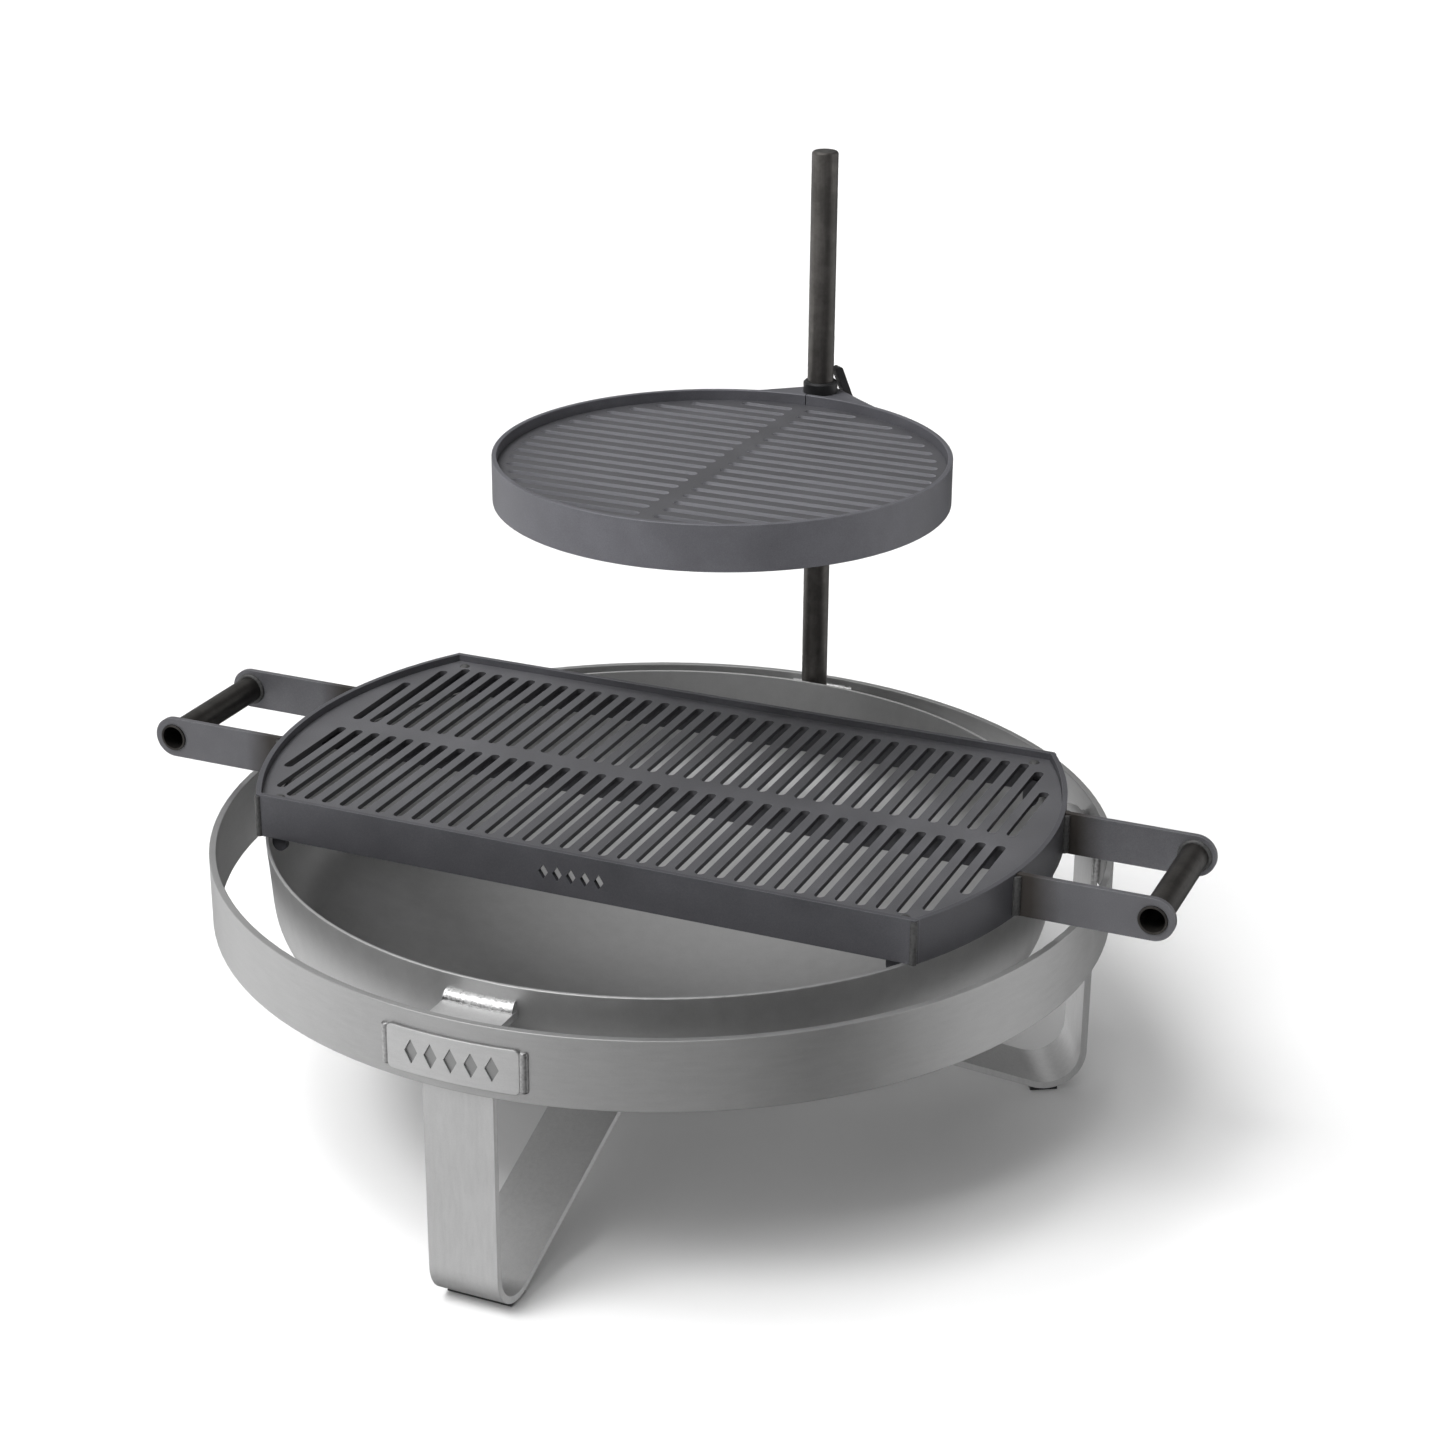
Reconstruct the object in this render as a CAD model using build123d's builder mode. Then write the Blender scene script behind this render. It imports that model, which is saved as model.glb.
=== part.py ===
from build123d import *
from math import asin, atan, atan2, cos, degrees, radians, sin, sqrt, tan
import os

# A wood fire pit. A round bowl hangs inside an outer ring on three bent-bar legs. A slotted grill
# grate with two handles lies on the bowl's rim, and a round swing grate turns and slides on a
# post that stands in a socket at the back.
#
# Frame: millimetres, +Z up, origin on the ground under the centre of the bowl. The front leg and
# the name plate are at -Y, the post is at +Y and the handles of the grill grate point along X.

# --- driving sizes -------------------------------------------------------------------------
bar_width = 63.5            # flat bar that makes the ring and the legs
bar_thick = 6.35
sheet_thick = 4.5           # plate that makes both grates
weld_gap = 0.05             # clearance between a weld bead and a curved surface

ring_radius = 405.0
ring_top = 278.5
ring_bottom = ring_top - bar_width
ring_bore = ring_radius - bar_thick

bowl_rim_radius = 355.0
bowl_rim_z = 289.5
bowl_wall = 3.0
bowl_wall_foot = (350.8, 232.0)     # where the conical wall meets the knuckle, radius and height
bowl_knuckle = 60.0
bowl_crown_slope = 25.0             # degrees from level where the knuckle meets the crown

leg_angles = {"leg_front": -90.0, "leg_right": 30.0, "leg_left": 150.0}
leg_face_radius = ring_bore - 1.35  # a flat bar inside a round ring touches at its two edges
leg_tab_top = 268.0
leg_tab_bend = 10.0                 # inside radius
leg_foot_bend = 38.0                # outside radius
leg_slope = 20.0                    # degrees, the return run under the bowl
pad_height = 2.5
pad_length = 26.0

name_plate_half_angle = 8.35
name_plate_bottom = ring_bottom + 8.0
name_plate_height = 40.0
name_plate_thick = 3.0
motif_depth = 1.6                   # how far the lozenges are sunk into the plate

post_y = 372.0
post_radius = 12.7
post_bore = 10.7
post_tube_top = 813.0
post_top = 821.0
post_fit = 0.08                     # running clearance on the post
socket_radius = 15.9
socket_floor = 190.0
socket_top = 273.0
bracket_half_width = 38.0

grate_radius = 361.0                # outside of the curved end walls
grate_half_width = 189.5            # outside of the straight walls
grate_bottom = bowl_rim_z
grate_wall_height = 40.0
grate_top = grate_bottom + grate_wall_height
grate_plate_top = grate_top - 6.6
grate_slot_count = 37
grate_slot_pitch = 17.93
grate_slot_width = 9.0
grate_slot_inner_y = 11.0
grate_slot_outer_y = 168.0
grate_slot_limit = 342.0            # radius that the short end slots stay inside
rib_depth = 24.0

handle_x = 472.0                    # axis of the round handle tubes
handle_z = 309.5
handle_arm_height = 38.1
handle_arm_inner_y = 65.0
handle_arm_thick = 5.0
handle_tube_radius = 12.7
handle_tube_bore = 10.7
handle_tube_half_length = 71.5

lug_x = 289.0
lug_width = 14.0
lug_thick = 5.0
lug_bottom = 276.0
lug_top = 302.0

swing_y = 130.0                     # centre of the round grate
swing_radius = 207.5
swing_top = 593.0
swing_band_height = 42.0
swing_plate_top = swing_top - 10.0
swing_slot_pitch = 20.5
swing_slot_rows = 19
swing_slot_width = 9.0
swing_slot_limit = 193.5
swing_spine_half_width = 7.0
swing_seam = 1.0

hub_radius = 18.5
hub_bore = 15.06
hub_length = 60.0
gusset_top = swing_top - 6.5
gusset_thick = 5.0
gusset_nose_radius = 21.0
gusset_reach = 72.0                 # how far its two horns run along the band

bush_radius = 15.0
bush_bore = post_radius + post_fit
bush_flange_radius = 16.6
bush_flange_height = 11.4
bush_depth = 22.0
lower_flange_radius = 17.5
lower_flange_height = 6.4
bush_gap = 0.1

screw_angle = 50.0                  # direction of the clamp screw, seen from above
screw_z = gusset_top - 30.0
screw_radius = 4.0
screw_tip = 13.0                    # distances from the post's axis, along the screw
boss_end = 29.0
boss_radius = 8.0
lever_hub_start = 32.0
lever_hub_end = 46.0
lever_hub_radius = 7.5
lever_tip = (19.0, screw_z + 49.5)  # distance along the screw, and height
lever_half_width = 3.8

# --- derived sizes -------------------------------------------------------------------------
bowl_tilt = degrees(atan((bowl_rim_radius - bowl_wall_foot[0]) / (bowl_rim_z - bowl_wall_foot[1])))
bracket_bottom = leg_tab_top - bar_thick
plate_gap = 0.3                     # between a plate and the curved wall that it is welded to
handle_arm_outer_y = handle_arm_inner_y + handle_arm_thick
swing_inner_radius = swing_radius - sheet_thick
swing_bottom = swing_top - swing_band_height
hub_bottom = gusset_top - hub_length

os.makedirs("parts", exist_ok=True)


def finish_part(builder, name):
    """Label a finished piece and write its STEP file."""
    builder.part.label = name
    export_step(builder.part, f"parts/{name}.step")


def radial_plane(angle):
    """An upright plane through the pit's axis: local x is the radius, local y is the height."""
    a = radians(angle)
    return Plane(origin=(0, 0, 0), x_dir=(cos(a), sin(a), 0), z_dir=(sin(a), -cos(a), 0))


def bowl_curve(inset):
    """One surface of the bowl, as rim, wall foot, knuckle middle and end, crown middle and bottom."""
    t = radians(bowl_tilt)
    s = radians(bowl_crown_slope)
    foot_r, foot_z = bowl_wall_foot
    knuckle_r = foot_r - bowl_knuckle * cos(t)
    knuckle_z = foot_z + bowl_knuckle * sin(t)
    crown_radius = (knuckle_r + bowl_knuckle * sin(s)) / sin(s)
    crown_z = knuckle_z - bowl_knuckle * cos(s) + crown_radius * cos(s)
    small = bowl_knuckle - inset
    large = crown_radius - inset
    foot = (knuckle_r + small * cos(t), knuckle_z - small * sin(t))
    rim = (foot[0] + (bowl_rim_z - foot[1]) * tan(t), bowl_rim_z)
    middle = (radians(90.0) - s + t) / 2
    knuckle_middle = (knuckle_r + small * cos(middle), knuckle_z - small * sin(middle))
    knuckle_end = (knuckle_r + small * sin(s), knuckle_z - small * cos(s))
    crown_middle = (large * sin(s / 2), crown_z - large * cos(s / 2))
    return rim, foot, knuckle_middle, knuckle_end, crown_middle, (0, crown_z - large)


def draw_bowl_curve(inset):
    rim, foot, knuckle_middle, knuckle_end, crown_middle, bottom = bowl_curve(inset)
    Line(rim, foot)
    ThreePointArc(foot, knuckle_middle, knuckle_end)
    ThreePointArc(knuckle_end, crown_middle, bottom)


# --- fire bowl and ring --------------------------------------------------------------------
with BuildPart() as bowl:
    with BuildSketch(Plane.XZ):
        with BuildLine():
            draw_bowl_curve(0)
            draw_bowl_curve(bowl_wall)
            Line(bowl_curve(0)[0], bowl_curve(bowl_wall)[0])
            Line(bowl_curve(0)[5], bowl_curve(bowl_wall)[5])
        make_face()
    revolve(axis=Axis.Z)
    rim_edges = bowl.edges().filter_by(GeomType.CIRCLE).group_by(Axis.Z)[-1]
    fillet(rim_edges, radius=0.9)
finish_part(bowl, "bowl")

# The space that the bowl and a little clearance take up, which trims what is welded to it.
with BuildPart() as bowl_space:
    with BuildSketch(Plane.XZ):
        with BuildLine():
            draw_bowl_curve(-weld_gap)
            Line(bowl_curve(-weld_gap)[0], (0, bowl_rim_z))
            Line((0, bowl_rim_z), bowl_curve(-weld_gap)[5])
        make_face()
    revolve(axis=Axis.Z)

with BuildPart() as outer_ring:
    with BuildSketch(Plane.XY.offset(ring_bottom)):
        Circle(ring_radius)
        Circle(ring_bore, mode=Mode.SUBTRACT)
    extrude(amount=bar_width)
    fillet(outer_ring.edges(), radius=0.8)
finish_part(outer_ring, "outer_ring")

# Everything outside the ring's bore, which trims beads laid against the ring.
with BuildPart() as ring_space:
    with BuildSketch(Plane.XY.offset(ring_bottom - 20)):
        Circle(ring_radius + 60)
        Circle(ring_bore - weld_gap, mode=Mode.SUBTRACT)
    extrude(amount=bar_width + 40)


# --- legs ----------------------------------------------------------------------------------
def leg_edge(offset):
    """One face of the bent bar, as the corners of its profile: offset 0 is the outside face."""
    s = radians(leg_slope)
    face = leg_face_radius - offset
    bend = leg_foot_bend - offset
    bend_z = pad_height + leg_foot_bend
    corner_z = bend_z - bend * (cos(s) + (1 + sin(s)) * tan(s))
    inner_end = 20.0
    return [
        (bowl_rim_radius - 30, leg_tab_top - offset),
        (face, leg_tab_top - offset),
        (face, corner_z),
        (inner_end, corner_z + (face - inner_end) * tan(s)),
    ]


def make_leg(angle):
    outside = leg_edge(0)
    inside = leg_edge(bar_thick)
    with BuildPart() as leg:
        with BuildSketch(radial_plane(angle)):
            with BuildLine():
                FilletPolyline(*outside, radius=[leg_tab_bend + bar_thick, leg_foot_bend])
                FilletPolyline(*inside, radius=[leg_tab_bend, leg_foot_bend - bar_thick])
                Line(outside[0], inside[0])
                Line(outside[-1], inside[-1])
            make_face()
        extrude(amount=bar_width / 2, both=True)
        add(bowl_space.part, mode=Mode.SUBTRACT)
    return leg


def make_foot_pad(angle, leg):
    bend_r = leg_face_radius - leg_foot_bend
    with BuildPart() as pad:
        with BuildSketch(radial_plane(angle)):
            with Locations((bend_r - 1, pad_height)):
                Rectangle(pad_length, 2 * pad_height)
        extrude(amount=bar_width / 2 - 2, both=True)
        add(leg.part, mode=Mode.SUBTRACT)
    return pad


legs = {}
for leg_name, leg_angle in leg_angles.items():
    legs[leg_name] = make_leg(leg_angle)
    finish_part(legs[leg_name], leg_name)
    foot_pad = make_foot_pad(leg_angle, legs[leg_name])
    finish_part(foot_pad, leg_name.replace("leg", "foot_pad"))

# Beads across the tops of the tabs, where the legs carry the bowl.
tab_bead = 8.5
with BuildPart() as bowl_tab_welds:
    half_angle = degrees(asin((bar_width / 2 - 1) / bowl_rim_radius))
    for leg_angle in leg_angles.values():
        with BuildSketch(radial_plane(leg_angle - half_angle)):
            with Locations((bowl_rim_radius - 1, leg_tab_top)):
                Circle(tab_bead)
        revolve(axis=Axis.Z, revolution_arc=2 * half_angle)
    for leg in legs.values():
        add(leg.part, mode=Mode.SUBTRACT)
    add(bowl_space.part, mode=Mode.SUBTRACT)
    with BuildSketch(Plane.XY.offset(leg_tab_top - bar_thick / 2)):
        Circle(ring_bore)
    extrude(amount=-30, mode=Mode.SUBTRACT)
finish_part(bowl_tab_welds, "bowl_tab_welds")

# Upright beads down both edges of each leg, inside the ring.
ring_bead = 4.5
with BuildPart() as ring_leg_welds:
    bead_height = bar_width - 24
    for leg_angle in leg_angles.values():
        for side in (-1, 1):
            a = radians(leg_angle)
            along = leg_face_radius - 1.5
            across = side * (bar_width / 2 + 0.5)
            x = along * cos(a) - across * sin(a)
            y = along * sin(a) + across * cos(a)
            with Locations((x, y, ring_bottom + 4)):
                Cylinder(ring_bead, bead_height, align=(Align.CENTER, Align.CENTER, Align.MIN))
    for leg in legs.values():
        add(leg.part, mode=Mode.SUBTRACT)
    add(ring_space.part, mode=Mode.SUBTRACT)
finish_part(ring_leg_welds, "ring_leg_welds")

# Beads across the underside of the bowl, where each leg's return run ends.
with BuildPart() as bowl_base_welds:
    slope = radians(leg_slope)
    outer_corner = leg_edge(0)[2]
    meet_r = 73.0
    meet_z = outer_corner[1] + (outer_corner[0] - meet_r) * tan(slope)
    for leg_angle in leg_angles.values():
        with BuildSketch(radial_plane(leg_angle)):
            with Locations((meet_r - 4, meet_z + 2)):
                Circle(5.5)
        extrude(amount=bar_width / 2 - 3, both=True)
    for leg in legs.values():
        add(leg.part, mode=Mode.SUBTRACT)
    add(bowl_space.part, mode=Mode.SUBTRACT)
finish_part(bowl_base_welds, "bowl_base_welds")


# --- name plate ----------------------------------------------------------------------------
def ring_sector(inner, outer, bottom, top, half_angle, middle=-90.0):
    """A curved block about the pit's axis."""
    with BuildPart() as sector:
        with BuildSketch(radial_plane(middle - half_angle)):
            with Locations(((inner + outer) / 2, (bottom + top) / 2)):
                Rectangle(outer - inner, top - bottom)
        revolve(axis=Axis.Z, revolution_arc=2 * half_angle)
    return sector


def lozenge_row(plane, count, pitch, width, height, depth):
    """A row of upright diamonds, extruded through a panel as a cutter."""
    with BuildPart() as row:
        with BuildSketch(plane):
            with GridLocations(pitch, 1, count, 1):
                Polygon((0, height / 2), (width / 2, 0), (0, -height / 2), (-width / 2, 0))
        extrude(amount=depth, both=True)
    return row


plate_outer = ring_radius + name_plate_thick
plate_top = name_plate_bottom + name_plate_height
motif_plane = Plane(origin=(0, -plate_outer, (name_plate_bottom + plate_top) / 2),
                    x_dir=(1, 0, 0), z_dir=(0, -1, 0))

# The cutter for the lozenges follows the plate's curve, so they are all equally deep.
with BuildPart() as plate_motif:
    add(lozenge_row(motif_plane, 5, 18, 12, 22, 3 * motif_depth).part)
    add(ring_sector(plate_outer - motif_depth, plate_outer + motif_depth, name_plate_bottom, plate_top,
                    name_plate_half_angle).part, mode=Mode.INTERSECT)

with BuildPart() as name_plate:
    add(ring_sector(ring_radius + plate_gap / 3, plate_outer, name_plate_bottom, plate_top,
                    name_plate_half_angle).part)
    radial_edges = name_plate.edges().filter_by(lambda e: e.length < name_plate_thick + 1)
    fillet(radial_edges, radius=5)
    front_edges = name_plate.faces().sort_by(Axis.Y)[0].edges()
    fillet(front_edges, radius=0.8)
    add(plate_motif.part, mode=Mode.SUBTRACT)
finish_part(name_plate, "name_plate")

with BuildPart() as name_plate_welds:
    for side in (-1, 1):
        a = radians(-90 + side * (name_plate_half_angle + 0.35))
        x = (ring_radius - 0.6) * cos(a)
        y = (ring_radius - 0.6) * sin(a)
        with Locations((x, y, name_plate_bottom + name_plate_height / 2)):
            Cylinder(4.2, name_plate_height - 3)
            fillet(name_plate_welds.edges().filter_by(GeomType.CIRCLE), radius=2.5)
    add(name_plate.part, mode=Mode.SUBTRACT)
    with BuildSketch(Plane.XY.offset(ring_bottom)):
        Circle(ring_radius + weld_gap)
    extrude(amount=bar_width, mode=Mode.SUBTRACT)
finish_part(name_plate_welds, "name_plate_welds")

# --- post socket ---------------------------------------------------------------------------
with BuildPart() as post_bracket:
    with BuildSketch(Plane.XY.offset(bracket_bottom)):
        with Locations((0, post_y)):
            RectangleRounded(2 * bracket_half_width, 62, 12)
        Circle(ring_bore - weld_gap, mode=Mode.INTERSECT)
        with Locations((0, post_y)):
            Circle(socket_radius + weld_gap, mode=Mode.SUBTRACT)
    extrude(amount=bar_thick)
    add(bowl_space.part, mode=Mode.SUBTRACT)
finish_part(post_bracket, "post_bracket")

with BuildPart() as post_socket:
    with BuildSketch(Plane.XY.offset(socket_floor)):
        with Locations((0, post_y)):
            Circle(socket_radius)
            Circle(post_radius + post_fit, mode=Mode.SUBTRACT)
    extrude(amount=socket_top - socket_floor)
finish_part(post_socket, "post_socket")

with BuildPart() as socket_base:
    with BuildSketch(Plane.XY.offset(socket_floor)):
        with Locations((0, post_y)):
            Circle(socket_radius)
            Circle(4, mode=Mode.SUBTRACT)
    extrude(amount=-4)
finish_part(socket_base, "socket_base")

with BuildPart() as bracket_welds:
    bracket_bead = 5.0
    bead_half_angle = degrees(asin((bracket_half_width - 6) / ring_bore))
    for bead_radius in (ring_bore - 0.5, bowl_rim_radius - 1):
        with BuildSketch(radial_plane(90 - bead_half_angle)):
            with Locations((bead_radius, leg_tab_top)):
                Circle(bracket_bead)
        revolve(axis=Axis.Z, revolution_arc=2 * bead_half_angle)
    add(post_bracket.part, mode=Mode.SUBTRACT)
    add(bowl_space.part, mode=Mode.SUBTRACT)
    add(ring_space.part, mode=Mode.SUBTRACT)
    with BuildSketch(Plane.XY.offset(leg_tab_top)):
        Circle(ring_bore)
    extrude(amount=-20, mode=Mode.SUBTRACT)
    with BuildSketch(Plane.XY.offset(leg_tab_top - 10)):
        with Locations((0, post_y)):
            Circle(socket_radius + weld_gap)
    extrude(amount=30, mode=Mode.SUBTRACT)
finish_part(bracket_welds, "bracket_welds")

# --- post ----------------------------------------------------------------------------------
with BuildPart() as post_tube:
    with BuildSketch(Plane.XY.offset(socket_floor)):
        with Locations((0, post_y)):
            Circle(post_radius)
            Circle(post_bore, mode=Mode.SUBTRACT)
    extrude(amount=post_tube_top - socket_floor)
finish_part(post_tube, "post_tube")

with BuildPart() as post_cap:
    with BuildSketch(Plane.XY.offset(post_tube_top)):
        with Locations((0, post_y)):
            Circle(post_radius)
    extrude(amount=post_top - post_tube_top)
    fillet(post_cap.faces().sort_by(Axis.Z)[-1].edges(), radius=3.0)
    with BuildSketch(Plane.XY.offset(post_tube_top)):
        with Locations((0, post_y)):
            Circle(post_bore - weld_gap)
    extrude(amount=-14)
finish_part(post_cap, "post_cap")


# --- swing grate ---------------------------------------------------------------------------
def chord(radius, offset):
    """Half the length of a chord that runs at this distance from a circle's centre."""
    return sqrt(radius ** 2 - offset ** 2)


with BuildPart() as swing_plate:
    with BuildSketch(Plane.XY.offset(swing_plate_top - sheet_thick)):
        with Locations((0, swing_y)):
            Circle(swing_inner_radius - plate_gap)
        for row in range(swing_slot_rows):
            row_y = (row - (swing_slot_rows - 1) / 2) * swing_slot_pitch
            slot_end = chord(swing_slot_limit, row_y)
            slot_length = slot_end - swing_spine_half_width
            slot_x = (slot_end + swing_spine_half_width) / 2
            with Locations((-slot_x, swing_y + row_y), (slot_x, swing_y + row_y)):
                SlotOverall(slot_length, swing_slot_width, mode=Mode.SUBTRACT)
    extrude(amount=sheet_thick)
finish_part(swing_plate, "swing_plate")

with BuildPart() as swing_band:
    with BuildSketch(Plane.XY.offset(swing_bottom)):
        with Locations((0, swing_y)):
            Circle(swing_radius)
            Circle(swing_inner_radius, mode=Mode.SUBTRACT)
        with Locations((0, swing_y + swing_radius - sheet_thick / 2)):
            Rectangle(swing_seam, 2 * sheet_thick, mode=Mode.SUBTRACT)
    extrude(amount=swing_band_height)
    chamfer(swing_band.edges().filter_by(GeomType.CIRCLE), length=0.5)
finish_part(swing_band, "swing_band")

with BuildPart() as swing_gusset:
    with BuildSketch(Plane.XY.offset(gusset_top - gusset_thick)):
        with BuildLine():
            CenterArc((0, swing_y), swing_radius, 0, 360)
            CenterArc((0, post_y), gusset_nose_radius, 0, 360)
        make_hull()
        with Locations((0, post_y - gusset_reach + 200)):
            Rectangle(400, 400, mode=Mode.INTERSECT)
        with Locations((0, swing_y)):
            Circle(swing_radius + plate_gap, mode=Mode.SUBTRACT)
        with Locations((0, post_y)):
            Circle(hub_radius + weld_gap, mode=Mode.SUBTRACT)
    extrude(amount=gusset_thick)
finish_part(swing_gusset, "swing_gusset")

screw_axis = Vector(cos(radians(screw_angle)), sin(radians(screw_angle)), 0)


def screw_plane(distance):
    """The plane across the clamp screw, at this distance from the post's axis."""
    centre = Vector(0, post_y, screw_z) + screw_axis * distance
    return Plane(origin=centre, x_dir=(0, 0, 1), z_dir=screw_axis)


with BuildPart() as hub_sleeve:
    with BuildSketch(Plane.XY.offset(hub_bottom)):
        with Locations((0, post_y)):
            Circle(hub_radius)
            Circle(hub_bore, mode=Mode.SUBTRACT)
    extrude(amount=hub_length)
    with BuildSketch(screw_plane(10)):
        Circle(screw_radius + 0.5)
    extrude(amount=15, mode=Mode.SUBTRACT)
finish_part(hub_sleeve, "hub_sleeve")

with BuildPart() as clamp_boss:
    with BuildSketch(screw_plane(10)):
        Circle(boss_radius)
        Circle(screw_radius + post_fit, mode=Mode.SUBTRACT)
    extrude(amount=boss_end - 10)
    boss_face = clamp_boss.faces().sort_by(Axis((0, 0, 0), tuple(screw_axis)))[-1]
    chamfer(boss_face.edges().sort_by(SortBy.RADIUS)[-1], length=1)
    with BuildSketch(Plane.XY.offset(hub_bottom)):
        with Locations((0, post_y)):
            Circle(hub_radius + weld_gap)
    extrude(amount=hub_length, mode=Mode.SUBTRACT)
finish_part(clamp_boss, "clamp_boss")

with BuildPart() as hub_welds:
    hub_bead = 3.0
    with BuildSketch(Plane(origin=(0, post_y, 0), x_dir=(1, 0, 0), z_dir=(0, -1, 0))):
        with Locations((hub_radius + 0.5, gusset_top - gusset_thick)):
            Circle(hub_bead)
    revolve(axis=Axis((0, post_y, 0), (0, 0, 1)))
    with BuildSketch(Plane.XY.offset(gusset_top - gusset_thick)):
        with Locations((0, post_y)):
            Circle(hub_radius + 10)
    extrude(amount=20, mode=Mode.SUBTRACT)
    with BuildSketch(Plane.XY.offset(gusset_top - 20)):
        with Locations((0, post_y)):
            Circle(hub_radius + weld_gap)
    extrude(amount=20, mode=Mode.SUBTRACT)
finish_part(hub_welds, "hub_welds")

# A bead under the gusset, along the outside of the band.
with BuildPart() as gusset_weld:
    weld_half_angle = 10.0
    weld_start = radians(90 - weld_half_angle)
    start_plane = Plane(origin=(0, swing_y, 0), x_dir=(cos(weld_start), sin(weld_start), 0),
                        z_dir=(sin(weld_start), -cos(weld_start), 0))
    with BuildSketch(start_plane):
        with Locations((swing_radius + 0.5, gusset_top - gusset_thick)):
            Circle(3.5)
    revolve(axis=Axis((0, swing_y, 0), (0, 0, 1)), revolution_arc=2 * weld_half_angle)
    with BuildSketch(Plane.XY.offset(gusset_top - gusset_thick)):
        Rectangle(200, 1000)
    extrude(amount=20, mode=Mode.SUBTRACT)
    with BuildSketch(Plane.XY.offset(swing_bottom)):
        with Locations((0, swing_y)):
            Circle(swing_radius + weld_gap)
    extrude(amount=swing_band_height, mode=Mode.SUBTRACT)
finish_part(gusset_weld, "gusset_weld")


# --- bushes that turn in the hub and slide on the post ---------------------------------------
def make_bush(flange_start, flange_height, flange_radius, depth):
    """A flanged bush: depth is measured from the flange into the hub, up or down."""
    with BuildPart() as bush:
        with BuildSketch(Plane.XY.offset(flange_start)):
            with Locations((0, post_y)):
                Circle(flange_radius)
        extrude(amount=flange_height)
        top_edge = bush.faces().sort_by(Axis.Z)[-1 if flange_height > 0 else 0].edges()
        chamfer(top_edge, length=1.6)
        with BuildSketch(Plane.XY.offset(flange_start)):
            with Locations((0, post_y)):
                Circle(bush_radius)
        extrude(amount=depth)
        with BuildSketch(Plane.XY.offset(flange_start - 50)):
            with Locations((0, post_y)):
                Circle(bush_bore)
        extrude(amount=100, mode=Mode.SUBTRACT)
    return bush


upper_bush = make_bush(gusset_top + bush_gap, bush_flange_height, bush_flange_radius, -bush_depth)
finish_part(upper_bush, "upper_bush")
lower_bush = make_bush(hub_bottom - bush_gap, -lower_flange_height, lower_flange_radius, bush_depth)
finish_part(lower_bush, "lower_bush")

# --- clamp lever ---------------------------------------------------------------------------
with BuildPart() as clamp_screw:
    with BuildSketch(screw_plane(screw_tip)):
        Circle(screw_radius)
    extrude(amount=lever_hub_end - 3 - screw_tip)
    screw_ends = clamp_screw.faces().filter_by(GeomType.PLANE)
    chamfer(screw_ends.sort_by(Axis((0, 0, 0), tuple(screw_axis)))[0].edges(), length=0.8)
finish_part(clamp_screw, "clamp_screw")

with BuildPart() as clamp_lever:
    with BuildSketch(screw_plane(lever_hub_start)):
        Circle(lever_hub_radius)
    extrude(amount=lever_hub_end - lever_hub_start)
    lever_side = Plane(origin=(0, post_y, 0), x_dir=screw_axis,
                       z_dir=(screw_axis.Y, -screw_axis.X, 0))
    with BuildSketch(lever_side):
        hub_point = ((lever_hub_start + lever_hub_end) / 2, screw_z)
        with BuildLine() as arm_line:
            Line(hub_point, lever_tip)
        SlotCenterPoint(((hub_point[0] + lever_tip[0]) / 2, (hub_point[1] + lever_tip[1]) / 2),
                        lever_tip, 2 * lever_half_width)
    extrude(amount=4.5, both=True)
    with BuildSketch(screw_plane(lever_hub_start - 1)):
        Circle(screw_radius + weld_gap)
    extrude(amount=lever_hub_end - 3 - lever_hub_start + 1, mode=Mode.SUBTRACT)
finish_part(clamp_lever, "clamp_lever")

# --- grill grate ---------------------------------------------------------------------------
end_inner_radius = grate_radius - sheet_thick
wall_inner_y = grate_half_width - sheet_thick
with BuildPart() as grate_plate:
    with BuildSketch(Plane.XY.offset(grate_plate_top - sheet_thick)):
        Circle(end_inner_radius - plate_gap)
        Rectangle(3 * grate_radius, 2 * wall_inner_y, mode=Mode.INTERSECT)
        for column in range(grate_slot_count):
            column_x = (column - (grate_slot_count - 1) / 2) * grate_slot_pitch
            slot_end = min(grate_slot_outer_y, chord(grate_slot_limit, column_x))
            slot_y = (slot_end + grate_slot_inner_y) / 2
            with Locations((column_x, slot_y), (column_x, -slot_y)):
                SlotOverall(slot_end - grate_slot_inner_y, grate_slot_width, rotation=90, mode=Mode.SUBTRACT)
    extrude(amount=sheet_thick)
finish_part(grate_plate, "grate_plate")

with BuildPart() as grate_rib:
    with BuildSketch(Plane.XY.offset(grate_plate_top - sheet_thick)):
        Rectangle(2 * (end_inner_radius - 4), sheet_thick)
    extrude(amount=-rib_depth)
finish_part(grate_rib, "grate_rib")


def make_straight_wall(side):
    with BuildPart() as wall:
        with BuildSketch(Plane.XY.offset(grate_bottom)):
            with Locations((0, side * (wall_inner_y + sheet_thick / 2))):
                Rectangle(3 * grate_radius, sheet_thick)
            Circle(grate_radius, mode=Mode.INTERSECT)
        extrude(amount=grate_wall_height)
    return wall


grate_wall_back = make_straight_wall(1)
finish_part(grate_wall_back, "grate_wall_back")
with BuildPart() as grate_wall_front:
    add(make_straight_wall(-1).part)
    wall_motif = Plane(origin=(0, -grate_half_width, grate_top - 21), x_dir=(1, 0, 0), z_dir=(0, -1, 0))
    add(lozenge_row(wall_motif, 5, 13, 9, 14, 2 * sheet_thick).part, mode=Mode.SUBTRACT)
finish_part(grate_wall_front, "grate_wall_front")


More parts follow.
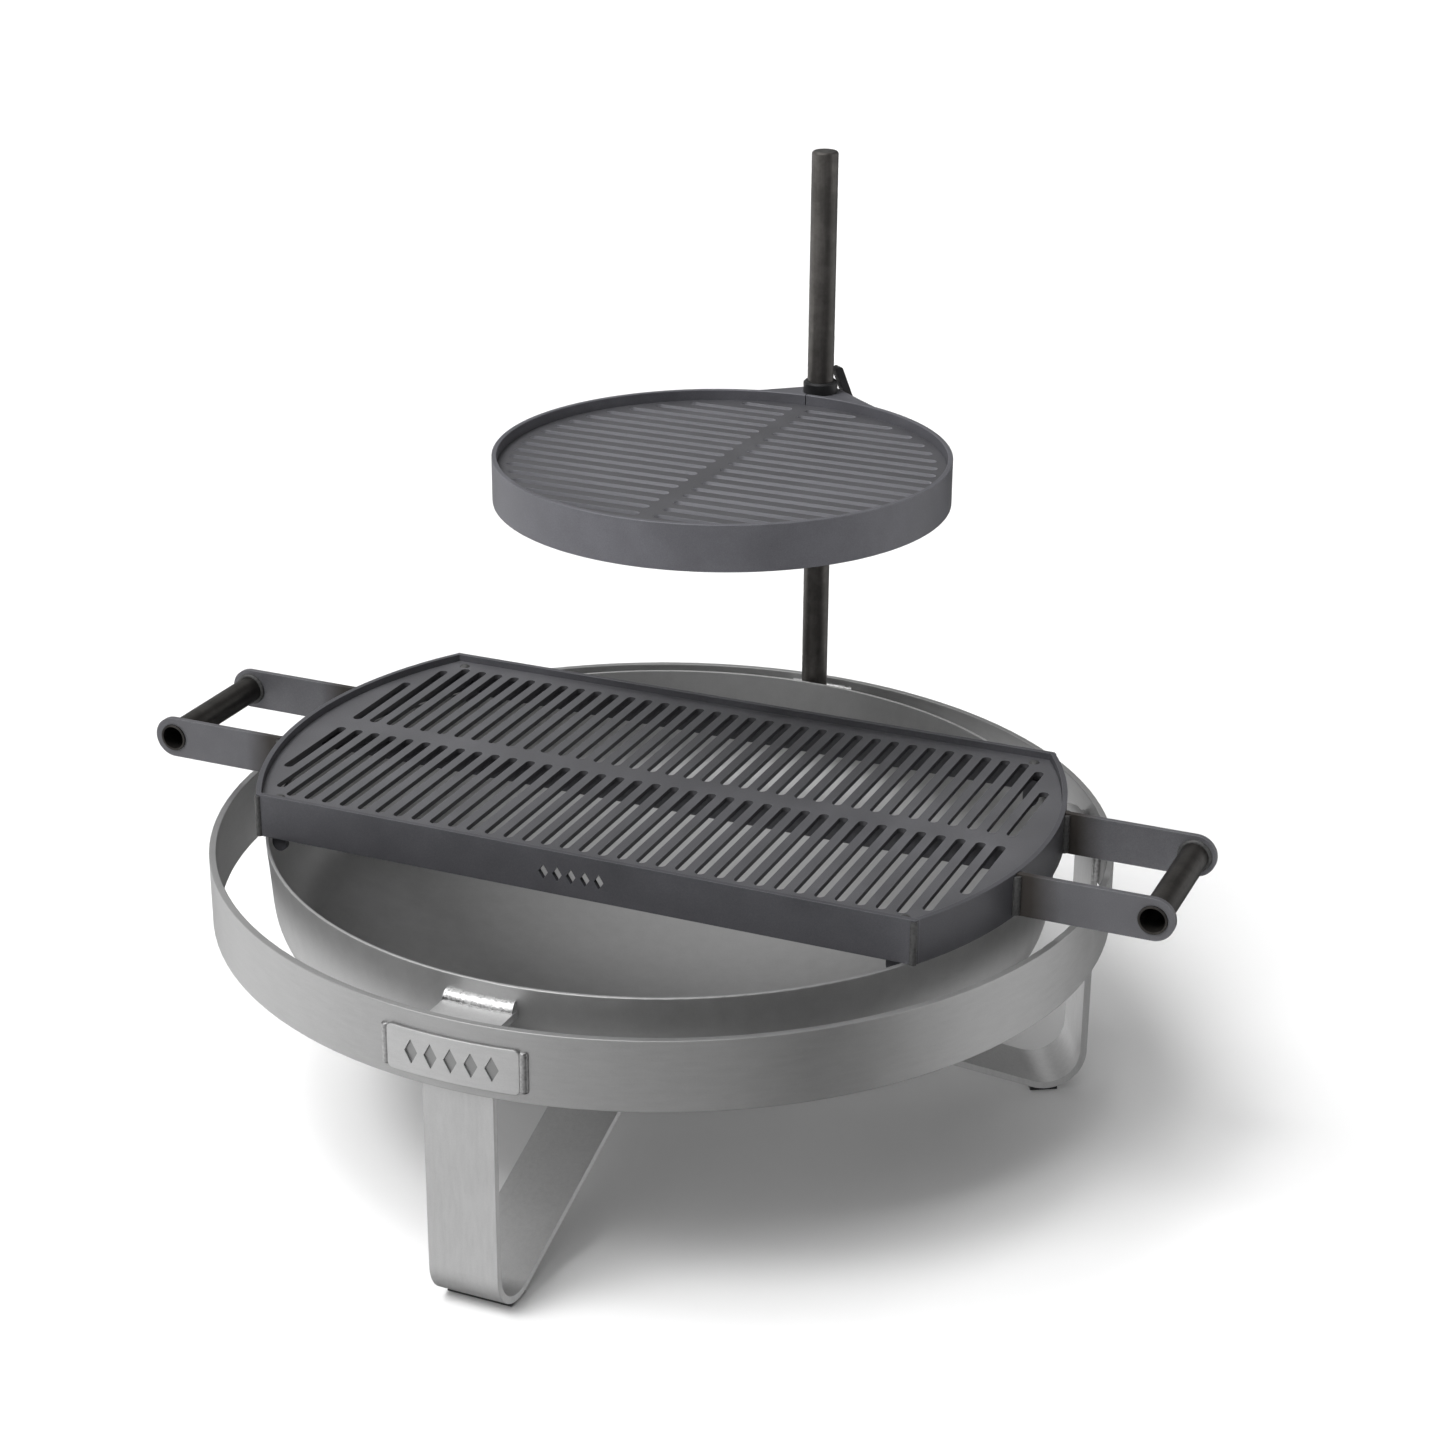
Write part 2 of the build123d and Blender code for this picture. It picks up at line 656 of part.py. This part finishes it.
def make_end_wall(side):
    with BuildPart() as wall:
        with BuildSketch(Plane.XY.offset(grate_bottom)):
            Circle(grate_radius)
            Circle(end_inner_radius, mode=Mode.SUBTRACT)
            with Locations((side * grate_radius, 0)):
                Rectangle(grate_radius, 2 * wall_inner_y, mode=Mode.INTERSECT)
        extrude(amount=grate_wall_height)
    return wall


end_walls = {"right": make_end_wall(1), "left": make_end_wall(-1)}
for side_name, end_wall in end_walls.items():
    finish_part(end_wall, f"grate_end_{side_name}")

# The whole outer outline of the grate, which trims the handle arms and the beads.
with BuildPart() as grate_space:
    with BuildSketch(Plane.XY.offset(grate_bottom - 10)):
        Circle(grate_radius + weld_gap)
        Rectangle(3 * grate_radius, 2 * (grate_half_width + weld_gap), mode=Mode.INTERSECT)
    extrude(amount=grate_wall_height + 20)


def make_arm(x_side, y_side):
    with BuildPart() as arm:
        arm_plane = Plane(origin=(0, y_side * handle_arm_inner_y, 0), x_dir=(1, 0, 0), z_dir=(0, -1, 0))
        with BuildSketch(arm_plane):
            with Locations((x_side * (grate_radius - 20 + handle_x) / 2, handle_z)):
                Rectangle(handle_x - grate_radius + 20, handle_arm_height)
            with Locations((x_side * handle_x, handle_z)):
                Circle(handle_arm_height / 2)
                Circle(handle_tube_radius + weld_gap, mode=Mode.SUBTRACT)
        extrude(amount=-y_side * handle_arm_thick)
        add(grate_space.part, mode=Mode.SUBTRACT)
    return arm


arms = {}
for x_name, x_side in (("left", -1), ("right", 1)):
    for y_name, y_side in (("front", -1), ("rear", 1)):
        arm_name = f"handle_arm_{x_name}_{y_name}"
        arms[arm_name] = make_arm(x_side, y_side)
        finish_part(arms[arm_name], arm_name)


def make_handle_tube(x_side):
    with BuildPart() as tube:
        tube_plane = Plane(origin=(x_side * handle_x, 0, handle_z), x_dir=(1, 0, 0), z_dir=(0, -1, 0))
        with BuildSketch(tube_plane):
            Circle(handle_tube_radius)
            Circle(handle_tube_bore, mode=Mode.SUBTRACT)
        extrude(amount=handle_tube_half_length, both=True)
    return tube


handle_tubes = {"left": make_handle_tube(-1), "right": make_handle_tube(1)}
for side_name, handle_tube in handle_tubes.items():
    finish_part(handle_tube, f"handle_tube_{side_name}")

with BuildPart() as locating_lugs:
    for y_side in (-1, 1):
        lug_plane = Plane(origin=(0, y_side * wall_inner_y, 0), x_dir=(1, 0, 0), z_dir=(0, -1, 0))
        for x_side in (-1, 1):
            with BuildSketch(lug_plane):
                with Locations((x_side * lug_x, (lug_top + lug_bottom + lug_width / 2) / 2)):
                    Rectangle(lug_width, lug_top - lug_bottom - lug_width / 2)
                with Locations((x_side * lug_x, lug_bottom + lug_width / 2)):
                    Circle(lug_width / 2)
            extrude(amount=y_side * lug_thick)
finish_part(locating_lugs, "locating_lugs")

# --- weld beads of the grill grate -----------------------------------------------------------
with BuildPart() as grate_corner_welds:
    corner_x = chord(grate_radius, grate_half_width)
    for x_side in (-1, 1):
        for y_side in (-1, 1):
            with Locations((x_side * (corner_x - 1), y_side * (grate_half_width - 1), grate_bottom)):
                Cylinder(3.0, grate_wall_height - 1.5, align=(Align.CENTER, Align.CENTER, Align.MIN))
    add(grate_space.part, mode=Mode.SUBTRACT)
finish_part(grate_corner_welds, "grate_corner_welds")

with BuildPart() as plate_tack_welds:
    tack_radius = 6.8
    tack_height = 2.2
    with Locations(Location((0, 0, grate_plate_top + tack_height - tack_radius))):
        with GridLocations(2 * 293, 2 * 174, 2, 2):
            Sphere(tack_radius)
    split(bisect_by=Plane.XY.offset(grate_plate_top), keep=Keep.TOP)
finish_part(plate_tack_welds, "plate_tack_welds")

with BuildPart() as arm_welds:
    for x_side in (-1, 1):
        for y_side in (-1, 1):
            for arm_face in (handle_arm_inner_y - 0.5, handle_arm_outer_y + 0.5):
                bead_x = x_side * (chord(grate_radius, arm_face) + 0.5)
                with Locations((bead_x, y_side * arm_face, grate_bottom + 2.5)):
                    Cylinder(4.5, grate_wall_height - 5, align=(Align.CENTER, Align.CENTER, Align.MIN))
    for arm in arms.values():
        add(arm.part, mode=Mode.SUBTRACT)
    add(grate_space.part, mode=Mode.SUBTRACT)
finish_part(arm_welds, "arm_welds")

with BuildPart() as handle_ring_welds:
    ring_weld = 2.4
    for x_side in (-1, 1):
        tube_axis = Axis((x_side * handle_x, 0, handle_z), (0, 1, 0))
        for y_side in (-1, 1):
            tube_middle = Plane(origin=(x_side * handle_x, 0, handle_z), x_dir=(1, 0, 0), z_dir=(0, 0, 1))
            with BuildSketch(tube_middle):
                with Locations((handle_tube_radius + 0.4, y_side * (handle_arm_inner_y - 0.4))):
                    Circle(ring_weld)
            revolve(axis=tube_axis)
    for arm in arms.values():
        add(arm.part, mode=Mode.SUBTRACT)
    for x_side in (-1, 1):
        with BuildSketch(Plane(origin=(x_side * handle_x, 0, handle_z), x_dir=(1, 0, 0), z_dir=(0, -1, 0))):
            Circle(handle_tube_radius + weld_gap)
        extrude(amount=handle_tube_half_length, both=True, mode=Mode.SUBTRACT)
    for y_side in (-1, 1):
        with Locations((0, y_side * (handle_arm_inner_y + 10), handle_z)):
            Box(2 * (handle_x + 40), 20, 60, mode=Mode.SUBTRACT)
finish_part(handle_ring_welds, "handle_ring_welds")
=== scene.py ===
import bpy
import bmesh
import math
from mathutils import Matrix, Vector


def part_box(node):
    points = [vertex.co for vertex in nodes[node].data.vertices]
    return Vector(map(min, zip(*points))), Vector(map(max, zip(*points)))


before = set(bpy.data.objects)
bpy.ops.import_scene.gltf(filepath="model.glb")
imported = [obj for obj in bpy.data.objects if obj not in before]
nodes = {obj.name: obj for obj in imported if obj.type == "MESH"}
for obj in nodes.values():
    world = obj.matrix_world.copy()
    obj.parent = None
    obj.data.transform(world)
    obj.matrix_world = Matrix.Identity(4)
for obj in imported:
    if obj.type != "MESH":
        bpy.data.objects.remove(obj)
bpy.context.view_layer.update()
scene = bpy.context.scene

# Places on the object that its materials follow, in metres.
plate_face = -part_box("name_plate")[0][1]            # distance of the name plate's face from the pit's axis
plate_recess_depth = 0.0011                         # how deep in a sunk shape the painted shade is at its darkest
arm_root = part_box("grate_end_right")[1][0]          # where the handle arms meet the grill grate
arm_root_shade_start = 0.011                              # past the root, the painted shade begins to fade
arm_root_shade_end = 0.037                                # and here it is gone

# The stage.
floor_half_width = 14.0
backdrop_radius = 12.5

# The camera. The lens is the focal length as a share of the image's width, on film this wide.
focal_length = 2869.8
image_width = 1445.0
film_width = 36.0
camera_place = (0.9730, -2.1533, 1.3548)
pitch = math.radians(22.451)                        # downwards from level
yaw = math.radians(-23.032)                         # from +Y towards +X
roll = math.radians(0.462)                          # the picture's right side goes up


# ---------------------------------------------------------------- node helpers
def grey(level):
    return (level, level, level)


def scaled(colour, factor):
    return tuple(c * factor for c in colour)


class Nodes:
    """Empties one node tree, then adds nodes to it and links them."""

    def __init__(self, tree):
        self.tree = tree
        self.tree.nodes.clear()

    def link(self, a, b):
        self.tree.links.new(a, b)

    def node(self, kind, **settings):
        n = self.tree.nodes.new(kind)
        for key, value in settings.items():
            setattr(n, key, value)
        return n

    def math(self, kind, a, b=None):
        """An operation on a, and on b where it is a number or another value."""
        n = self.node("ShaderNodeMath", operation=kind)
        self.link(a, n.inputs[0])
        if isinstance(b, float):
            n.inputs[1].default_value = b
        elif b is not None:
            self.link(b, n.inputs[1])
        return n.outputs[0]

    def remap(self, value, span, to, **settings):
        """Takes the two ends of span to the two ends of to, and holds them outside it."""
        n = self.node("ShaderNodeMapRange", **settings)
        for i, x in enumerate((*span, *to)):
            n.inputs[i + 1].default_value = x
        self.link(value, n.inputs[0])
        return n.outputs[0]

    def blend(self, *layers):
        """The sum of some values, each with its weight."""
        value, weight = layers[0]
        total = self.math("MULTIPLY", value, weight)
        if len(layers) > 1:
            total = self.math("ADD", total, self.blend(*layers[1:]))
        return total


class Shader(Nodes):
    """The nodes of one material."""

    def __init__(self, name):
        self.material = bpy.data.materials.new(name)
        self.material.use_nodes = True
        super().__init__(self.material.node_tree)
        out = self.node("ShaderNodeOutputMaterial")
        self.bsdf = self.node("ShaderNodeBsdfPrincipled")
        self.link(self.bsdf.outputs[0], out.inputs[0])
        self.coords = self.node("ShaderNodeTexCoord").outputs["Object"]

    def mapping(self, scale):
        n = self.node("ShaderNodeMapping")
        n.inputs["Scale"].default_value = scale
        self.link(self.coords, n.inputs["Vector"])
        return n.outputs[0]

    def noise(self, scale, detail, roughness, vector=None, distortion=0.0):
        n = self.node("ShaderNodeTexNoise")
        n.inputs["Scale"].default_value = scale
        n.inputs["Detail"].default_value = detail
        n.inputs["Roughness"].default_value = roughness
        n.inputs["Distortion"].default_value = distortion
        self.link(vector or self.coords, n.inputs["Vector"])
        return n.outputs["Fac"]

    def cells(self, scale):
        """Distance from the nearest of many scattered points."""
        n = self.node("ShaderNodeTexVoronoi")
        n.inputs["Scale"].default_value = scale
        self.link(self.coords, n.inputs["Vector"])
        return n.outputs["Distance"]

    def ramp(self, value, stops):
        n = self.node("ShaderNodeValToRGB")
        elements = n.color_ramp.elements
        while len(elements) < len(stops):
            elements.new(0.5)
        for element, (position, colour) in zip(elements, stops):
            element.position = position
            element.color = (*colour, 1)
        self.link(value, n.inputs[0])
        return n.outputs[0]

    def mix(self, factor, base, over):
        """Lays the plain colour over on base, as strongly as factor says."""
        n = self.node("ShaderNodeMix", data_type="RGBA")
        self.link(factor, n.inputs[0])
        self.link(base, n.inputs[6])
        n.inputs[7].default_value = (*over, 1)
        return n.outputs[2]

    def soft_edges(self, radius=0.0007):
        """A normal that rounds every hard edge by this radius."""
        n = self.node("ShaderNodeBevel", samples=4)
        n.inputs["Radius"].default_value = radius
        return n.outputs[0]

    def edge(self):
        """1 on hard edges and 0 elsewhere, from how far a rounded normal leaves the true one."""
        worn_radius = 0.0012
        g = self.node("ShaderNodeNewGeometry")
        d = self.node("ShaderNodeVectorMath", operation="DOT_PRODUCT")
        self.link(self.soft_edges(worn_radius), d.inputs[0])
        self.link(g.outputs["Normal"], d.inputs[1])
        return self.remap(d.outputs["Value"], (0.97, 0.80), (0.0, 1.0))

    def upright(self):
        """1 on upright faces and 0 on level ones."""
        g = self.node("ShaderNodeNewGeometry")
        d = self.node("ShaderNodeSeparateXYZ")
        self.link(g.outputs["True Normal"], d.inputs[0])
        return self.remap(self.math("ABSOLUTE", d.outputs[2]), (0.5, 0.3), (0.0, 1.0))

    def bump(self, height, strength, distance, normal=None):
        n = self.node("ShaderNodeBump")
        n.inputs["Strength"].default_value = strength
        n.inputs["Distance"].default_value = distance
        self.link(height, n.inputs["Height"])
        if normal is not None:
            self.link(normal, n.inputs["Normal"])
        return n.outputs[0]

    def finish(self, colour=None, roughness=None, normal=None, **constants):
        """Links what varies over the surface, and sets the rest on the shader's own sockets."""
        linked = {"Base Color": colour, "Roughness": roughness, "Normal": normal}
        for key, value in linked.items():
            if value is not None:
                self.link(value, self.bsdf.inputs[key])
        for key, value in constants.items():
            self.bsdf.inputs[key.replace("_", " ")].default_value = value
        return self.material


# ---------------------------------------------------------------- materials
def stainless(name, tone=0.52, rough=(0.34, 0.48), grain=(40, 40, 260), recess=None):
    """Satin stainless sheet: fine speckle, soft patches and a few faint marks.

    grain is how fast the rolled texture changes along each axis. recess is a range of distances
    from the pit's axis, over which painted shade in a sunk shape fades.
    """
    s = Shader(name)
    speckle = s.noise(1400.0, detail=2, roughness=0.5)
    rolled = s.noise(1.0, detail=4, roughness=0.6, vector=s.mapping(grain))
    patches = s.noise(5.0, detail=6, roughness=0.62)
    blend = s.blend((speckle, 0.25), (rolled, 0.25), (patches, 0.5))
    colour = s.ramp(blend, [(0.34, grey(tone * 0.86)), (0.50, grey(tone)), (0.66, grey(tone * 1.12))])
    scuffs = s.noise(1.0, detail=8, roughness=0.75, vector=s.mapping((9, 9, 30)), distortion=0.4)
    marks = s.remap(scuffs, (0.62, 0.78), (0.0, 0.35))
    colour = s.mix(marks, colour, grey(tone * 0.72))
    if recess:
        # Painted shade: the colour darkens the further a point lies behind the name plate's face.
        reach = s.node("ShaderNodeVectorMath", operation="LENGTH")
        s.link(s.mapping((1, 1, 0)), reach.inputs[0])
        dirt = s.remap(reach.outputs["Value"], recess, (0.55, 0.0))
        colour = s.mix(dirt, colour, grey(tone * 0.25))
    glossy = s.remap(blend, (0.35, 0.65), rough)
    height = s.blend((rolled, 0.5), (speckle, 0.5))
    normal = s.bump(height, 0.10, 0.0003, s.soft_edges())
    return s.finish(colour, glossy, normal, Metallic=0.9)


def coated(name, top, upright_shading=None, root_shade=None):
    """Dark heat-proof coating: fine grain, slight mottling, and lighter worn corners.

    top is its colour, and upright_shading is the tone of its upright faces as a share of top: painted light
    above 1 and painted shade below 1. root_shade is a range of distances from the pit's middle along X, over
    which painted shade at the handle arms' roots fades.
    """
    s = Shader(name)
    grain = s.noise(1100.0, detail=3, roughness=0.6)
    mottling = s.noise(18.0, detail=6, roughness=0.6)
    smudge = s.noise(4.0, detail=3, roughness=0.5)
    blend = s.blend((grain, 0.35), (mottling, 0.40), (smudge, 0.25))
    colour = s.ramp(blend, [(0.36, scaled(top, 0.80)), (0.5, top), (0.64, scaled(top, 1.28))])
    colour = s.mix(s.math("MULTIPLY", s.edge(), 0.5), colour, scaled(top, 2.2))
    if upright_shading:
        # Painted light and shade: upright faces take a tone of their own, lighter where slot walls face the
        # light, darker where they are shaded.
        colour = s.mix(s.upright(), colour, scaled(top, upright_shading))
    if root_shade:
        x = s.node("ShaderNodeSeparateXYZ")
        s.link(s.coords, x.inputs[0])
        uneven = s.math("MULTIPLY", mottling, 0.010)
        reach = s.math("ADD", s.math("ABSOLUTE", x.outputs[0]), uneven)
        # Painted shade: darker and browner near the handle arms' roots, where the grate's wall shades them.
        colour = s.mix(s.remap(reach, root_shade, (0.88, 0.0)), colour, (0.030, 0.024, 0.019))
    rough = s.remap(mottling, (0.3, 0.7), (0.36, 0.50))
    normal = s.bump(grain, 0.18, 0.0003, s.soft_edges(0.0005))
    return s.finish(colour, rough, normal, Metallic=0.35)


def mill_tube(name, tone=(0.090, 0.085, 0.080), along=(60, 60, 3)):
    """Raw drawn tube: dark warm scale with lengthwise streaks and lighter rubbed marks.

    along is how fast the streaks change along each axis, least along the tube.
    """
    s = Shader(name)
    streaks = s.noise(1.0, detail=5, roughness=0.65, vector=s.mapping(along))
    blotches = s.noise(34.0, detail=6, roughness=0.7)
    specks = s.noise(260.0, detail=3, roughness=0.6)
    blend = s.blend((streaks, 0.5), (blotches, 0.5))
    colour = s.ramp(blend, [(0.32, scaled(tone, 0.62)), (0.5, tone), (0.70, scaled(tone, 1.9))])
    rough = s.remap(blend, (0.35, 0.7), (0.46, 0.30))
    height = s.math("ADD", specks, s.math("MULTIPLY", streaks, 0.5))
    normal = s.bump(height, 0.16, 0.0003, s.soft_edges())
    return s.finish(colour, rough, normal, Metallic=0.75)


def weld_bead(name, tone=0.74, metal=1.0, rough=(0.22, 0.38), depth=0.0004):
    """A weld bead with fine overlapping ripples, this deep."""
    s = Shader(name)
    ripple = s.cells(360.0)
    patches = s.noise(90.0, detail=3, roughness=0.5)
    blend = s.blend((ripple, 0.7), (patches, 0.5))
    colour = s.ramp(blend, [(0.1, grey(tone * 0.55)), (0.45, grey(tone)), (0.9, grey(tone * 1.3))])
    glossy = s.remap(patches, (0.3, 0.7), rough)
    normal = s.bump(ripple, 0.6, depth)
    return s.finish(colour, glossy, normal, Metallic=metal)


def black_metal(name):
    """Black oxide on the clamp, the bushes and the foot pads, rubbed lighter on its edges."""
    s = Shader(name)
    tone = (0.016, 0.016, 0.017)
    patches = s.noise(60.0, detail=4, roughness=0.6)
    fine = s.noise(800.0, detail=2, roughness=0.5)
    colour = s.ramp(patches, [(0.3, tone), (0.7, scaled(tone, 2.0))])
    worn = s.mix(s.math("MULTIPLY", s.edge(), 0.5), colour, scaled(tone, 7))
    rough = s.remap(patches, (0.3, 0.7), (0.32, 0.48))
    normal = s.bump(fine, 0.15, 0.0002, s.soft_edges())
    return s.finish(worn, rough, normal, Metallic=0.4)


plate_recess = (plate_face - plate_recess_depth, plate_face)
arm_root_shade = (arm_root + arm_root_shade_start, arm_root + arm_root_shade_end)

RING = stainless("stainless_ring")
BOWL = stainless("stainless_bowl", tone=0.60, rough=(0.38, 0.52), grain=(60, 60, 60))
LEG = stainless("stainless_leg", tone=0.69, rough=(0.42, 0.54), grain=(260, 260, 40))
PLATE = stainless("stainless_plate", tone=0.67, recess=plate_recess)
GRATE = coated("grate_coating", top=(0.098, 0.098, 0.108))
# The grill plate's slot walls carry painted shade, the swing plate's slot walls painted light.
GRATE_PLATE = coated("grate_plate_coating", top=(0.128, 0.128, 0.137), upright_shading=0.7)
ARM = coated("arm_coating", top=(0.132, 0.132, 0.142), root_shade=arm_root_shade)
SWING = coated("swing_coating", top=(0.135, 0.135, 0.150))
SWING_PLATE = coated("swing_plate_coating", top=(0.100, 0.100, 0.108), upright_shading=3.0)
POST = mill_tube("post_mill")
HANDLE = mill_tube("handle_mill", tone=(0.045, 0.042, 0.039), along=(60, 3, 60))
BRIGHT_WELD = weld_bead("bright_weld")
DRESSED_WELD = weld_bead("dressed_weld", tone=0.45, rough=(0.28, 0.42))
COATED_WELD = weld_bead("coated_weld", tone=0.075, metal=0.35, rough=(0.36, 0.5), depth=0.0006)
BLACK = black_metal("black_oxide")

looks = {
    "bowl": BOWL, "outer_ring": RING, "name_plate": PLATE,
    "post_bracket": LEG, "post_socket": LEG, "socket_base": LEG,
    "post_tube": POST, "post_cap": POST, "upper_bush": BLACK, "lower_bush": BLACK,
    "swing_plate": SWING_PLATE, "swing_band": SWING, "swing_gusset": SWING,
    "hub_sleeve": SWING, "clamp_boss": SWING, "clamp_screw": BLACK, "clamp_lever": BLACK,
    "grate_plate": GRATE_PLATE, "handle_tube_left": HANDLE, "handle_tube_right": HANDLE,
    "bowl_tab_welds": BRIGHT_WELD, "bowl_base_welds": BRIGHT_WELD, "bracket_welds": BRIGHT_WELD,
    "name_plate_welds": DRESSED_WELD, "ring_leg_welds": DRESSED_WELD,
}
group_looks = {"leg_": LEG, "foot_pad_": BLACK, "handle_arm_": ARM}


def look_of(name):
    """The material named for this node or its group, or else a coated weld or the grill grate's."""
    if name in looks:
        return looks[name]
    for start, material in group_looks.items():
        if name.startswith(start):
            return material
    return COATED_WELD if name.endswith(("weld", "welds")) else GRATE


for name, obj in nodes.items():
    obj.data.materials.clear()
    obj.data.materials.append(look_of(name))


# ---------------------------------------------------------------- floor and backdrop
def stage_object(name, shape, material):
    """Turns a bmesh into an object of the stage."""
    mesh = bpy.data.meshes.new(name)
    shape.to_mesh(mesh)
    shape.free()
    mesh.materials.append(material)
    thing = bpy.data.objects.new(name, mesh)
    scene.collection.objects.link(thing)
    return thing


def stage_floor():
    """A pale floor that metal doesn't reflect, because the sky's lobes stand for the room."""
    s = Shader("floor_paper")
    soft = s.noise(1.5, detail=2, roughness=0.5)
    colour = s.ramp(soft, [(0.3, grey(0.93)), (0.7, grey(0.96))])
    shape = bmesh.new()
    bmesh.ops.create_grid(shape, x_segments=1, y_segments=1, size=floor_half_width)
    floor = stage_object("floor", shape, s.finish(colour, Roughness=0.9))
    floor.visible_glossy = False


def stage_backdrop():
    """A plain white room that only the camera sees, so that the floor has no edge from any side."""
    s = Shader("backdrop_paper")
    black = (0, 0, 0, 1)
    white = (1, 1, 1, 1)
    material = s.finish(Base_Color=black, Emission_Color=white, Emission_Strength=1.0)
    shape = bmesh.new()
    bmesh.ops.create_uvsphere(shape, u_segments=64, v_segments=32, radius=backdrop_radius)
    backdrop = stage_object("backdrop", shape, material)
    for ray in ("diffuse", "glossy", "shadow", "transmission"):
        setattr(backdrop, "visible_" + ray, False)


# ---------------------------------------------------------------- light
def soft_sun(name, travel, strength, angle, shine=True):
    """A very large, distant softbox: travel is the direction its light goes in.

    angle is how wide it looks from the object, in degrees. Without shine it lights surfaces but
    leaves no highlight in the metal.
    """
    data = bpy.data.lights.new(name, "SUN")
    data.energy = strength
    data.angle = math.radians(angle)
    light = bpy.data.objects.new(name, data)
    light.rotation_mode = "QUATERNION"
    light.rotation_quaternion = Vector(travel).to_track_quat("-Z", "Y")
    light.visible_glossy = shine
    scene.collection.objects.link(light)


def sky_lobe(sky, coords, direction, span, level):
    """A soft patch of sky that brightens towards one direction.

    span holds the cosines of the angles from it where the patch begins and where it is full.
    """
    dot = sky.node("ShaderNodeVectorMath", operation="DOT_PRODUCT")
    dot.inputs[1].default_value = Vector(direction).normalized()
    sky.link(coords, dot.inputs[0])
    return sky.remap(dot.outputs["Value"], span, (0.0, level), interpolation_type="SMOOTHSTEP")


def studio_world():
    """Light from the room, which the metal reflects."""
    world = bpy.data.worlds.new("studio")
    scene.world = world
    world.use_nodes = True
    sky = Nodes(world.node_tree)
    out = sky.node("ShaderNodeOutputWorld")
    back = sky.node("ShaderNodeBackground")
    sky.link(back.outputs[0], out.inputs[0])
    coords = sky.node("ShaderNodeTexCoord").outputs["Generated"]
    lobes = (
        sky_lobe(sky, coords, (-0.965, -0.264, 0.10), (0.0, 0.66), 0.42),      # broad softbox on the left
        sky_lobe(sky, coords, (-0.90, -0.05, -0.42), (0.72, 0.97), 0.55),      # its core, low down
        sky_lobe(sky, coords, (0.10, -0.95, -0.20), (0.40, 0.95), 0.38),       # the room behind the camera
        sky_lobe(sky, coords, (0.904, 0.427, 0.0), (0.60, 0.98), 0.85),        # card on the right
        sky_lobe(sky, coords, (0.0, 0.95, 0.25), (0.30, 0.95), 0.14),          # far wall
    )
    total = lobes[0]
    for lobe in lobes[1:]:
        total = sky.math("ADD", total, lobe)
    sky.link(total, back.inputs[1])
    back.inputs[0].default_value = (1, 1, 1, 1)


# ---------------------------------------------------------------- camera
def studio_camera():
    camera_data = bpy.data.cameras.new("camera")
    camera_data.sensor_width = film_width
    camera_data.lens = focal_length / image_width * film_width
    camera = bpy.data.objects.new("camera", camera_data)
    scene.collection.objects.link(camera)
    forward = Vector((math.sin(yaw) * math.cos(pitch), math.cos(yaw) * math.cos(pitch), -math.sin(pitch)))
    right = Vector((math.cos(yaw), -math.sin(yaw), 0))
    up = right.cross(forward)
    right_rolled = right * math.cos(roll) + up * math.sin(roll)
    up_rolled = right_rolled.cross(forward)
    rotation = Matrix((right_rolled, up_rolled, -forward)).transposed()
    camera.matrix_world = Matrix.Translation(camera_place) @ rotation.to_4x4()
    return camera


stage_floor()
stage_backdrop()
key_travel = (0.30, 0.50, -0.95)
soft_sun("key", key_travel, 2.2, 28, shine=False)
soft_sun("key_shine", key_travel, 1.0, 62)
soft_sun("top", (0.0, 0.0, -1.0), 0.30, 60)
soft_sun("rear", (0.25, -0.60, -0.80), 0.18, 40)
studio_world()
bpy.context.scene.camera = studio_camera()
scene.view_settings.view_transform = "Standard"
scene.view_settings.look = "None"
